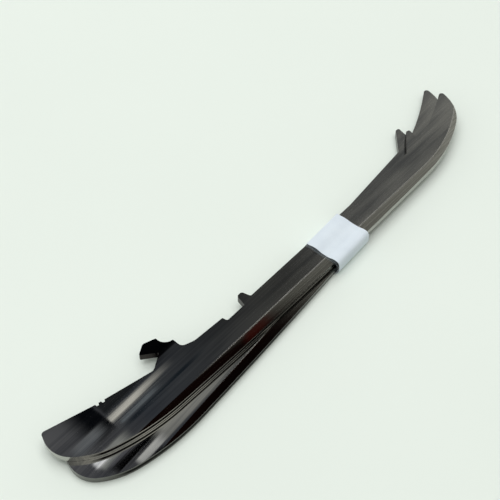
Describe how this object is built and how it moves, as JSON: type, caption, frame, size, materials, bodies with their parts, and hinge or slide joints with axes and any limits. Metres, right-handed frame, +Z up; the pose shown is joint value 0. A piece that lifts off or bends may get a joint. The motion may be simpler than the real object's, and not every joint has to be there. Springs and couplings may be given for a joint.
{
  "type": "pair of hockey skate runners",
  "caption": "Stacked and fanned pair of quick-release hockey skate runners in ground stainless steel, held by a loop of clear tape and a blank paper label.",
  "frame": {"origin": "on the table under the middle of the band, on the axis about which the plates fan", "axes": "+X from heel to toe along the middle between the two plates, +Y from the ice edges to the holder side, +Z up from the table"},
  "size_m": [0.28, 0.0442, 0.0092],
  "materials": {
    "runner_steel": "satin",
    "tape_film": "gloss",
    "label_paper": "matte"
  },
  "bodies": {
    "lower": {"lower_runner": "runner_steel"},
    "band": {"clear_tape": "tape_film", "paper_label": "label_paper"},
    "upper": {"upper_runner": "runner_steel"}
  },
  "joints": [
    {"name": "band_swivel", "type": "hinge", "parent": "lower", "child": "band", "pos_m": [0, 0, 0], "axis": [0, 0, 1], "range_deg": [0, 4.7]},
    {"name": "upper_swivel", "type": "hinge", "parent": "band", "child": "upper", "pos_m": [0, 0, 0], "axis": [0, 0, 1], "range_deg": [0, 4.7]}
  ]
}
